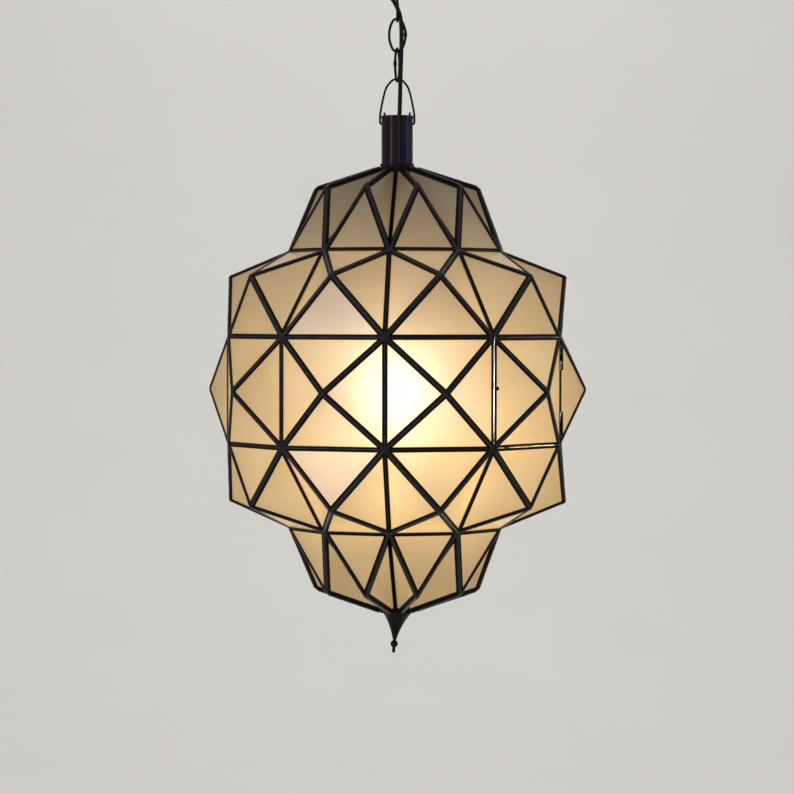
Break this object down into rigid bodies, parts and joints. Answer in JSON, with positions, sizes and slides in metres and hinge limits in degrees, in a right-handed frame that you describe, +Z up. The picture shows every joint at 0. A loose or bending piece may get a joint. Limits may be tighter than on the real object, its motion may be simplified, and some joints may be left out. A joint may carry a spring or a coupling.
{
  "type": "pendant light",
  "caption": "Faceted star-shaped glass pendant lantern in dark metal edging, hung by a wire bail and a short chain from a ceiling canopy, with a hinged pane door for the bulb.",
  "frame": {"origin": "the middle of the ceiling bracket's two slots, on the ceiling face", "axes": "+Z up into the ceiling; the chain's pull and the lantern's axis run straight down -Z; X runs along the bracket and through the bail's two pivots; -Y faces the picture's viewer"},
  "size_m": [0.4412, 0.4292, 0.8399],
  "materials": {
    "black_metal": "dark patina, half gloss",
    "edging": "folded metal edging with a dark patina",
    "opal_glass": "milky, slightly rippled sheet glass",
    "bulb_glass": "frosted",
    "bulb_metal": "bare",
    "brass": "plain",
    "zinc_steel": "zinc plated",
    "black_plastic": "moulded",
    "white_plastic": "moulded",
    "flex": "smooth black sheath"
  },
  "bodies": {
    "ceiling": {"mounting_bracket": "zinc_steel", "threaded_nipple": "brass", "nipple_locknuts": "brass", "canopy": "black_metal", "ceiling_loop": "black_metal", "cord_grip": "black_plastic", "cord_grip_nut": "black_plastic", "terminal_block": "white_plastic", "terminal_screws": "zinc_steel", "earth_screw": "brass", "flex_top": "flex"},
    "link_3": {"chain_link_3": "black_metal", "flex_upper": "flex"},
    "link_2": {"chain_link_2": "black_metal", "flex_middle": "flex"},
    "link_1": {"chain_link_1": "black_metal", "flex_lower": "flex"},
    "bail": {"bail": "black_metal", "flex_neck": "flex"},
    "lantern": {"neck_tube": "black_metal", "neck_collar": "black_metal", "bridge_plate": "zinc_steel", "stem": "brass", "stem_locknuts": "brass", "stem_bush": "black_plastic", "lampholder_cap": "black_plastic", "lampholder_body": "black_plastic", "lampholder_sleeve": "brass", "lampholder_contact": "brass", "belt_edging": "edging", "belt_panes": "opal_glass", "upper_tier_edging": "edging", "upper_tier_panes": "opal_glass", "lower_tier_edging": "edging", "lower_tier_panes": "opal_glass", "crown_edging": "edging", "crown_panes": "opal_glass", "base_edging": "edging", "base_panes": "opal_glass", "finial_collar": "black_metal", "finial_cone": "black_metal", "finial_tip": "black_metal", "jamb_hinge_knuckles": "black_metal", "hinge_pins": "black_metal", "latch_catch_peg": "black_metal", "flex_stem": "flex"},
    "door": {"door_edging": "edging", "door_panes": "opal_glass", "door_hinge_knuckles": "black_metal", "latch_pivot_peg": "black_metal"},
    "latch": {"latch_hook": "black_metal"},
    "bulb": {"bulb_glass": "bulb_glass", "bulb_cap": "bulb_metal"}
  },
  "joints": [
    {"name": "link_3_swing", "type": "hinge", "parent": "ceiling", "child": "link_3", "pos_m": [0, 0, -0.06675], "axis": [1, 0, 0], "range_deg": [-20, 20], "deforming": ["flex_top"]},
    {"name": "link_2_swing", "type": "hinge", "parent": "link_3", "child": "link_2", "pos_m": [0, 0, -0.1011], "axis": [0, 1, 0], "range_deg": [-20, 20], "deforming": ["flex_upper"]},
    {"name": "link_1_swing", "type": "hinge", "parent": "link_2", "child": "link_1", "pos_m": [0, 0, -0.13595], "axis": [1, 0, 0], "range_deg": [-20, 20], "deforming": ["flex_middle"]},
    {"name": "bail_swing", "type": "hinge", "parent": "link_1", "child": "bail", "pos_m": [0, 0, -0.1708], "axis": [0, 1, 0], "range_deg": [-20, 20], "deforming": ["flex_lower"]},
    {"name": "neck_swing", "type": "hinge", "parent": "bail", "child": "lantern", "pos_m": [0, 0, -0.2207], "axis": [1, 0, 0], "range_deg": [-25, 25], "deforming": ["flex_neck"]},
    {"name": "door_hinge", "type": "hinge", "parent": "lantern", "child": "door", "pos_m": [0.18879, -0.07551, -0.53], "axis": [0, 0, 1], "range_deg": [0, 110]},
    {"name": "latch_pivot", "type": "hinge", "parent": "door", "child": "latch", "pos_m": [0.10992, -0.16892, -0.525], "axis": [-0.5329, 0.8462, 0], "range_deg": [0, 100]},
    {"name": "bulb_unscrew", "type": "slide", "parent": "lantern", "child": "bulb", "axis": [0, 0, -1], "range_m": [0, 0.024]}
  ]
}
